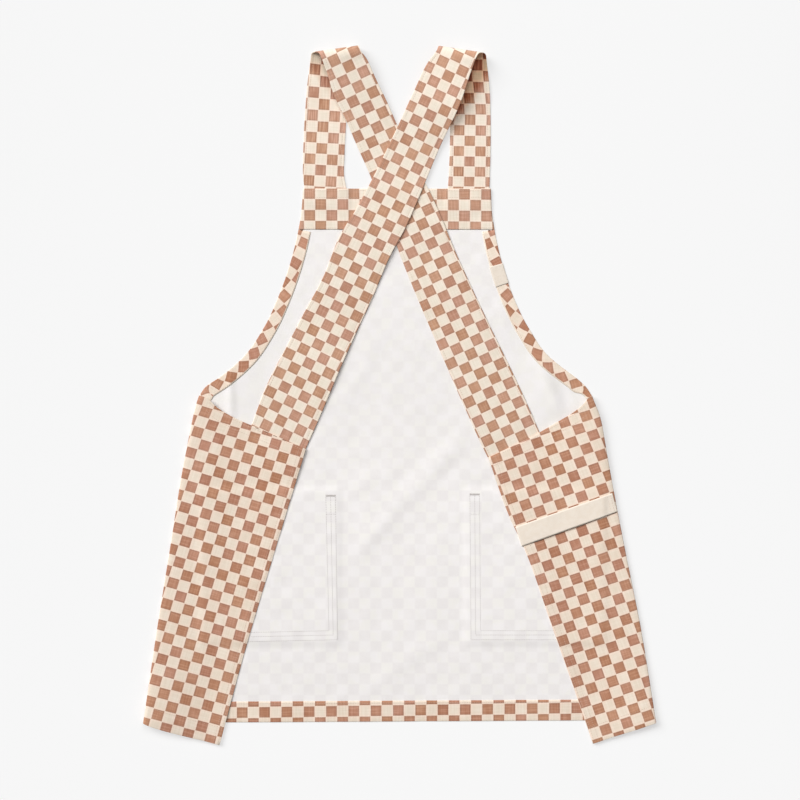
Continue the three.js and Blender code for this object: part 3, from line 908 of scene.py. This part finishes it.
def strapRows(side):
    # all sections, and which of them is the top of the shoulder loop
    spec = straps[side]
    lx, ly, lowLeft, rx, ry, lowRight = spec["shoulder"]
    highLeft, highRight = spec["loopHigh"]
    away = unit(np.array([-(ry - ly), rx - lx]))
    turns = []
    for turn in np.linspace(0, math.pi, 7):
        x, y = away * (strapLook["bulge"] * (math.sin(turn) - 1) - strapLook["half"])
        over = (1 - math.cos(turn)) / 2
        lean = strapLook["leanBack"] * over ** 1.5 - strapLook["leanFront"] * (1 - over) ** 2
        far = strapLook["leanFar"] * over
        leanLeft, leanRight = (lean, far) if side == "left" else (-far, -lean)
        turns.append((lx + x + leanLeft, ly + y, lowLeft + highLeft * over,
                      rx + x + leanRight, ry + y, lowRight + highRight * over))
    return np.array(spec["front"] + turns + spec["back"], float), len(spec["front"]) + len(turns) // 2


def strapFrame(side):
    # evenly spaced sections: the two edges, the way across and the way up
    rows, topRow = strapRows(side)
    far = alongLine((rows[:, :3] + rows[:, 3:]) / 2)
    at = np.linspace(0, far[-1], int(far[-1] / strapLook["step"]) + 1)
    read = curveThrough(far, rows)(at)
    left, right = read[:, :3], read[:, 3:]
    for edge, waves in zip((left, right), strapLook["waves"].values()):
        x, y = xyOf(edge)
        edge[:, 2] += riseAt(x, y) + drapeAt(x, y) + unevenness(x, y, waves)
    across = unit(right - left)
    along = np.gradient((left + right) / 2, axis=0)
    up = unit(np.cross(along, across))
    return left, right, across, up, int(np.argmin(np.abs(at - far[topRow])))


def strapHalf(inset):
    # half the strap's thickness by how far in from its edge
    edge, seam = strapLook["edge"], strapLook["seam"]
    rounded = np.sqrt(np.clip(1 - (1 - np.minimum(inset, edge) / edge) ** 2, 0, 1))
    dent = strapLook["seamSink"] * np.exp(-((inset - seam) / strapLook["seamWide"]) ** 2)
    return strapLook["half"] * rounded - dent


def strapInsets(wide):
    near = np.array(strapLook["columns"])
    middle = np.linspace(near[-1], wide - near[-1], strapLook["middleColumns"] + 2)[1:-1]
    return np.concatenate([near, middle, wide - near[::-1]])


def strapSquares(side, points, topAt):
    backCheck, frontCheck = straps[side]["backCheck"], straps[side]["frontCheck"]
    back, front = (squaresAt(*xyOf(points), check) for check in (backCheck, frontCheck))
    run = alongLine(points)
    away = (run - run[topAt])[..., None] * (0, 1)
    before = np.arange(len(points)) < topAt
    back[before] = back[topAt] - away[before] / backCheck["tall"]
    front[~before] = front[topAt] + away[~before] / frontCheck["tall"]
    return back, front


def strapShade(side, points):
    # painted shade on the inner face inside the loop: how deep the shade is painted there, and how warm its
    # tint
    inside = np.array(straps[side]["inside"])
    x, y = xyOf(points)
    edge, reach, deep = (np.interp(y, inside[:, 0], inside[:, k]) for k in (1, 2, 3))
    out = (x - edge) * -inwardSign[side]
    return stacked(deep * (1 - smoothStep(out, reach * 0.55, reach)), straps[side]["shadeWarmth"])


def makeStrap(side):
    left, right, across, up, topAt = strapFrame(side)
    wide = np.linalg.norm(right - left, axis=1)
    insets = np.stack([strapInsets(w) for w in wide])
    near = np.minimum(insets, wide[:, None] - insets)
    middle = left[:, None] + across[:, None] * insets[..., None]
    bySeam = np.exp(-((near - strapLook["seam"]) / strapLook["puckerWide"]) ** 2)
    pucker = unevenness(*xyOf(middle), strapLook["pucker"]) * bySeam
    half = (strapHalf(near) + pucker * (near > 0))[..., None] * up[:, None]
    upper, lower = middle + half, (middle - half)[:, 1:-1]
    for face in (upper, lower):
        face[..., 2] = np.maximum(face[..., 2], strapLook["lowest"])
    # both faces share the points along the edges
    top = np.arange(near.size).reshape(near.shape)
    under = top.copy()
    under[:, 1:-1] = near.size + np.arange(lower[..., 0].size).reshape(lower.shape[:2])
    back, front = strapSquares(side, middle, topAt)
    topQuads, underQuads = quadCorners(top), quadCorners(under)[:, ::-1]
    faces = [*topQuads, *underQuads]
    squares = [quadCorners(back), quadCorners(front)[:, ::-1]]
    shade = [np.zeros_like(squares[0]), quadCorners(strapShade(side, middle))[:, ::-1]]
    for end, order in ((0, 1), (-1, -1)):
        faces.append(np.concatenate([top[end], under[end, -2:0:-1]])[::order])
        squares.append(np.concatenate([back[end], back[end, -2:0:-1]])[::order])
        shade.append(np.zeros_like(squares[-1]))
    slots = np.repeat([0, 1, 0], [len(topQuads), len(underQuads), 2])
    points = np.concatenate([upper.reshape(-1, 3), lower.reshape(-1, 3)])
    squares, shade = (np.concatenate([x.reshape(-1, 2) for x in layer]) for layer in (squares, shade))
    return finishMesh("strap" + side.title(), points, faces, squares, slots, [strapPrintAndSheen, strapFront], shade)


strapPieces = {side: makeStrap(side) for side in straps}
print("straps laid")


# Patch pockets, under the front

pocketCloth = {"middle": 0.47, "thick": 0.85, "columns": 42, "rows": 46}


def makePocket(side):
    spec = pockets[side]
    x = np.linspace(spec["left"], spec["right"], pocketCloth["columns"])
    y = np.linspace(spec["top"], spec["bottom"], pocketCloth["rows"])[:, None]
    points = stacked(x, y, pocketCloth["middle"])
    squares = squaresAt(*xyOf(points), body["check"])
    materials = [insideCloth, checkPrint]
    return clothSheet("pocket" + side.title(), points, squares, pocketCloth["thick"], materials)


pocketPieces = {side: makePocket(side) for side in pockets}


# Towel loop on the right wing, and the tab on the right armhole

loop = {
    "upper": ((177.5, -200.5), (321.5, -150)),  # inner end, outer end
    "lower": ((187.5, -230), (329, -178.5)),
    "thick": 0.65, "wide": 31.0, "clear": 0.7, "bow": 1.4, "tapeUnit": 10,
    "turned": 14, "turnedTo": 0.5,  # the inner end goes round the wing's edge and under it
    "turnMiddle": -0.35, "turnOut": 0.4, "turnBulge": 1.7, "turnCloth": 4,
    "outerBulge": 0.75, "outerDrop": 0.55,
}
tab = {
    "rows": (199, 169), "wide": 19.6, "thick": 0.4, "over": 0.43,
    "lead": 0.6, "bulge": 1.9, "drop": 0.9,  # where the turn round the edge starts, its reach and its drop
    "end": (-1.3, 1.4),                      # how far in the tab ends, and how much lower
}


def tapeEnds(share):
    # places across the inner end of the tape, and across its outer end
    return [blend(*np.array([loop["upper"][k], loop["lower"][k]]), share[:, None]) for k in (0, 1)]


def towelLoop():
    share = np.linspace(0, 1, 15)
    inner, outer = tapeEnds(share)
    length = np.linalg.norm(outer - inner, axis=1)
    run = unit(outer - inner)
    points, squares = [], []

    def add(reach, lift, used):
        place = inner + run * np.reshape(reach, (-1, 1))
        points.append(np.column_stack([place, wingHeight("right", *xyOf(place)) + lift]))
        squares.append(stacked(used, share * loop["wide"]) / loop["tapeUnit"])

    clear, middle, turnCloth = loop["clear"], loop["turnMiddle"], loop["turnCloth"]
    radius, longest = clear - middle, length.mean()
    for reach in np.linspace(loop["turned"], loop["turnedTo"], 8):
        add(reach, middle - radius, -reach - turnCloth)
    for turn in np.linspace(0, math.pi, 9):
        out = loop["turnOut"] + loop["turnBulge"] * math.sin(turn)
        add(-out, middle - radius * math.cos(turn), turn * clear - turnCloth)
    for along in np.linspace(0, 1, 60)[1:]:
        bow = loop["bow"] * math.sin(math.pi * along) ** 0.7
        add(length * along, clear + bow, longest * along)
    for turn in np.linspace(0, math.pi, 7)[1:]:
        out = loop["outerBulge"] * math.sin(turn)
        add(length + out, clear - loop["outerDrop"] * (1 - math.cos(turn)), longest + turn)
    points, squares = np.stack(points, axis=1), np.stack(squares, axis=1)
    return clothSheet("towelLoop", points, squares, loop["thick"], [tapeCloth, tapeCloth])


def edgeTab():
    y = np.linspace(*tab["rows"], 22)
    over = hems["over"] + tab["over"]
    sections = [(inset, over) for inset in np.linspace(tab["wide"], tab["lead"], 10)]
    for turn in np.linspace(0, math.pi / 2, 6)[1:]:
        inset = tab["lead"] - tab["bulge"] * math.sin(turn)
        sections.append((inset, over - tab["drop"] * (1 - math.cos(turn))))
    sections.append((tab["end"][0], over - tab["end"][1]))
    points, squares = [], []
    for inset, lift in sections:
        points.append(np.column_stack([edgePoint("right", y, inset), edgeGround("right", y, inset) + lift]))
        squares.append(stacked(inset, y) / loop["tapeUnit"])
    points, squares = np.stack(points, axis=1), np.stack(squares, axis=1)
    return clothSheet("edgeTab", points, squares, tab["thick"], [tabCloth, tabCloth])


loopPiece = towelLoop()
tabPiece = edgeTab()
print("tape and tab sewn on")


# Stitches: each is a short spindle laid on the cloth

stitch = {
    "long": 2.8, "space": 0.8, "wide": 0.4, "high": 0.26, "sides": 6,
    "rings": [(-0.5, 0, -0.3), (-0.3, 1, 0.1), (0.3, 1, 0.1), (0.5, 0, -0.3)],  # place, swell, lift
}
threadLift = {  # how far the middle of a stitch lies above each cloth
    "front": 0.05, "hem": 0.05, "facing": 0.06, "wing": 0.06, "strap": 0.12, "tape": 0.3,
    "facingTack": 0.1, "wingEdgeDash": 0.05,
}


class Sewing:
    def __init__(self):
        self.starts, self.ends, self.ups = [], [], []

    def segments(self, starts, ends, ups=upward):
        self.starts.append(starts)
        self.ends.append(ends)
        self.ups.append(unit(np.broadcast_to(ups, starts.shape)))

    def row(self, points, ups=upward, longEach=stitch["long"], space=stitch["space"]):
        # running stitches along a line that lies on the cloth
        far = alongLine(points)
        count = max(int(far[-1] / (longEach + space)), 1)
        begin = np.arange(count) * far[-1] / count
        finish = begin + longEach * far[-1] / count / (longEach + space)
        upThere = readLine((begin + finish) / 2, far, np.broadcast_to(ups, points.shape))
        self.segments(readLine(begin, far, points), readLine(finish, far, points), upThere)

    def make(self, name, material, wide):
        starts, ends, ups = (np.concatenate(x) for x in (self.starts, self.ends, self.ups))
        length = np.linalg.norm(ends - starts, axis=1)
        along = unit(ends - starts)
        side = unit(np.cross(ups, along))
        up = np.cross(along, side)
        sides, high = stitch["sides"], stitch["high"]
        turns = np.arange(sides) * 2 * math.pi / sides
        cloud, twist = [], []
        for place, swell, lift in stitch["rings"]:
            for turn in (turns if swell else turns[:1]):
                out = side * (swell * wide / 2 * math.cos(turn))
                rise = up * (swell * high / 2 * math.sin(turn) + lift * high)
                cloud.append((starts + ends) / 2 + along * (length * place)[:, None] + out + rise)
                twist.append((place * 2 + turn / math.pi, turn / math.pi))
        points = np.stack(cloud, axis=1)
        last = 2 * sides + 1
        faces = []
        for k in range(sides):
            n = (k + 1) % sides
            faces += [(0, 1 + n, 1 + k), (last, 1 + sides + k, 1 + sides + n)]
            faces += [(1 + k, 1 + n, 1 + sides + n), (1 + k, 1 + sides + n, 1 + sides + k)]
        faces = np.array(faces)
        every = (np.arange(len(starts)) * len(cloud))[:, None, None] + faces
        squares = np.tile(np.array(twist)[faces], (len(starts), 1, 1))
        slots = np.zeros(len(squares), int)
        return finishMesh(name, points.reshape(-1, 3), every.reshape(-1, 3), squares, slots, [material])


def sewn(name, seams, material, wide=stitch["wide"]):
    sewing = Sewing()
    seams(sewing)
    return sewing.make(name, material, wide)


def onCloth(place, height, cloth, lift):
    # points of a seam, from the height of the middle of the cloth under it
    return np.column_stack([place, height + cloth["thick"] / 2 + threadLift[lift]])


def onFront(x, y):
    place = stacked(x, y)
    return onCloth(place, groundAt(*xyOf(place)), body, "front")


def onHem(place):
    return onCloth(place, groundAt(*xyOf(place)) + hems["over"], hems, "hem")


def onWing(side, place, lift="wing"):
    return onCloth(place, wingHeight(side, *xyOf(place)), body, lift)


pocketSeams = {  # top and bottom x of each upright line from the outside in, where the level lines end
    "left": {"uprights": [(-112.5, -107.6), (-105.2, -101.2), (-97.9, -94.6)],
             "far": -310, "top": -152, "drop": 4.5},
    "right": {"uprights": [(121.0, 122.6), (113.7, 115.2), (106.4, 108.2)],
              "far": 318, "top": -150, "drop": 0},
    "levels": [-358.9, -365.4, -372.6], "hem": -182, "tackHigh": 3.9, "tackTurns": 22, "wide": 0.55,
}


def sewPockets(sewing):
    share = np.linspace(0, 1, 60)
    for side in pockets:
        seam = pocketSeams[side]
        for (x0, x1), level in zip(seam["uprights"], pocketSeams["levels"]):
            # each line runs down, turns its corner and runs on to the side
            sewing.row(onFront(blend(x0, x1, share), blend(seam["top"], level, share)))
            sewing.row(onFront(blend(x1, seam["far"], share), level - seam["drop"] * share))
        outer, inner = seam["uprights"][0][0], seam["uprights"][-1][0]
        sewing.row(onFront(blend(outer, inner, share), pocketSeams["hem"]))
        # bar tack: close zigzag across the top of the uprights
        zigzag = np.arange(pocketSeams["tackTurns"]) % 2
        y = seam["top"] - pocketSeams["tackHigh"] * zigzag
        points = onFront(np.linspace(outer, inner, len(zigzag)), y)
        sewing.segments(points[:-1], points[1:])


def sewStraps(sewing):
    seam = strapLook["seam"]
    height = strapHalf(np.array(seam)) + threadLift["strap"]
    for side in straps:
        left, right, across, up, _ = strapFrame(side)
        for edge, way in ((left, across), (right, -across)):
            for face in (1, -1):
                points = edge + way * seam + up * face * height
                points[:, 2] = np.maximum(points[:, 2], strapLook["lowestStitch"])
                sewing.row(points, up * face)


edgeSeams = {
    "armholeEnd": 6,                        # how far above the corner of the armhole
    "bottomReach": 372, "bottomIn": 3.6,
    "facingDown": (2.8, 12.7, 59.1), "facingIn": 2.5,
}


def sewEdges(sewing):
    for side in wings:
        y = np.linspace(bibTop - facing["deep"], cornerY + edgeSeams["armholeEnd"], 160)
        sewing.row(onHem(edgePoint(side, y, hemWide(side, y) - hems["margin"])))
    x = np.linspace(-edgeSeams["bottomReach"], edgeSeams["bottomReach"], 300)
    sewing.row(onHem(stacked(x, hemLine(x) + hems["bottomWide"] - edgeSeams["bottomIn"])))
    for down in edgeSeams["facingDown"]:
        y = bibTop - down
        x = np.linspace(*[edgeX(side, y) + inwardSign[side] * edgeSeams["facingIn"] for side in wings], 160)
        sewing.row(onCloth(stacked(x, y), facingHeight(x, y), facing, "facing"))


wingSeams = {  # how far from each edge, and the part of the edge that is sewn
    "inner": (2.6, 9.6), "innerRun": (0.004, 0.995),
    "top": (2.6, 14.5), "topRun": (0.1, 0.985), "topLong": 470,  # long: the wing's length there
    "bottom": 27, "bottomRun": (0.06, 0.99), "bottomLong": 500,
}


def sewWings(sewing):
    for side in wings:
        patch = wingPatch(side)
        t = np.linspace(*wingSeams["innerRun"], 240)
        wide = np.linalg.norm(patch(1, t) - patch(0, t), axis=1)
        lines = [patch(1 - inset / wide, t) for inset in wingSeams["inner"]]
        s = np.linspace(*wingSeams["topRun"], 120)
        lines += [patch(s, down / wingSeams["topLong"]) for down in wingSeams["top"]]
        s = np.linspace(*wingSeams["bottomRun"], 120)
        lines.append(patch(s, 1 - wingSeams["bottom"] / wingSeams["bottomLong"]))
        for place in lines:
            sewing.row(onWing(side, place))


def sewTape(sewing):
    for inset in (3.0, 8.0):
        inner, outer = tapeEnds(np.linspace(0.06, 0.94, 12))
        place = outer + unit(inner - outer) * inset
        sewing.row(onCloth(place, wingHeight("right", *xyOf(place)) + loop["clear"], loop, "tape"))


darkTacks = {  # where darker stitches hold the corners of the facing; and dark dashes along the left wing's top edge over its strap, standing for the dark line of that turned edge, partly painted shade
    "facing": [((-151, 250.2), (-146, 249.9)), ((133.9, 249.2), (138.6, 249.4)),
               ((139.7, 250.2), (142.2, 250.6))],
    "apart": 0.7,
    "wingTop": (0.46, 0.86), "wingDown": 0.001, "dash": 7.5, "gap": 6.0, "wide": 0.85,
}


def sewTacks(sewing):
    for start, end in darkTacks["facing"]:
        for down in (0.0, darkTacks["apart"]):
            place = np.linspace(start, end, 8) - (0, down)
            sewing.row(onCloth(place, groundAt(*xyOf(place)) + facing["over"], facing, "facingTack"))
    # dark dashes along the left wing's top edge: the turned edge's dark line, partly painted shade
    place = wingPatch("left")(np.linspace(*darkTacks["wingTop"], 60), darkTacks["wingDown"])
    sewing.row(onWing("left", place, "wingEdgeDash"), longEach=darkTacks["dash"], space=darkTacks["gap"])


tackStitches = sewn("tackStitches", sewTacks, brownThread, darkTacks["wide"])
pocketStitches = sewn("pocketStitches", sewPockets, greyThread, pocketSeams["wide"])
edgeStitches = sewn("edgeStitches", sewEdges, tanThread)
strapStitches = sewn("strapStitches", sewStraps, tanThread)
wingStitches = sewn("wingStitches", sewWings, tanThread)
tapeStitches = sewn("tapeStitches", sewTape, tanThread)
print("stitched")


# Floor, light and camera

stage = {
    "photoWide": 1.216, "centre": (0.0003, -0.0085), "high": 3.2, "sensor": 36,
    "floorHalf": 6, "ambient": 0.18, "farthest": 50,
}

half = stage["floorHalf"]
floorMesh = bpy.data.meshes.new("floor")
corners = [(-half, -half, 0), (half, -half, 0), (half, half, 0), (-half, half, 0)]
floorMesh.from_pydata(corners, [], [(0, 1, 2, 3)])
floorMesh.materials.append(paleFloor())
floor = bpy.data.objects.new("floor", floorMesh)
bpy.context.scene.collection.objects.link(floor)

world = bpy.data.worlds.new("studio")
bpy.context.scene.world = world
world.use_nodes = True
world.node_tree.nodes["Background"].inputs["Color"].default_value = (1, 1, 1, 1)
world.node_tree.nodes["Background"].inputs["Strength"].default_value = stage["ambient"]


def addLamp(name, kind, spot, energy):
    # shines from its spot towards the middle of the smock
    data = bpy.data.lights.new(name, kind)
    data.energy = energy
    lamp = bpy.data.objects.new(name, data)
    lamp.location = spot
    lamp.rotation_mode = "QUATERNION"
    lamp.rotation_quaternion = Vector(spot).to_track_quat("Z", "Y")
    bpy.context.scene.collection.objects.link(lamp)
    return data


keyLight = addLamp("keyLight", "SUN", (-1.0, 0.72, 0.85), 3.05)
keyLight.angle = math.radians(36)
topLight = addLamp("topLight", "AREA", (0, 1.6, 2.4), 30)
topLight.size = 1.5

cameraData = bpy.data.cameras.new("camera")
cameraData.sensor_width = stage["sensor"]
cameraData.lens = stage["sensor"] * stage["high"] / stage["photoWide"]
cameraData.clip_end = stage["farthest"]
camera = bpy.data.objects.new("camera", cameraData)
camera.location = (*stage["centre"], stage["high"])
bpy.context.scene.collection.objects.link(camera)
bpy.context.scene.camera = camera
bpy.context.scene.view_settings.view_transform = "Standard"


# What each piece stands for: it is hung on the root, and the parts it replaces are hidden

def standsFor(piece, slot, *nodes):
    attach(piece, "root")
    if nodes:
        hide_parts(*nodes)


standsFor(smockBody, "printed_cloth", "front_panel", "wing_left", "wing_right")
standsFor(hemBottom, "printed_cloth", "hem_bottom")
standsFor(facingBand, "printed_cloth", "bib_facing")
for side in wings:
    standsFor(armholeHems[side], "printed_cloth", "armhole_hem_" + side)
    standsFor(strapPieces[side], "printed_cloth", "strap_" + side)
    standsFor(pocketPieces[side], "printed_cloth", "pocket_" + side)
standsFor(loopPiece, "cream_tape", "towel_loop")
standsFor(tabPiece, "cream_tape", "edge_tab")
for stitches in (pocketStitches, edgeStitches, strapStitches, wingStitches, tapeStitches, tackStitches):
    standsFor(stitches, "cream_tape")
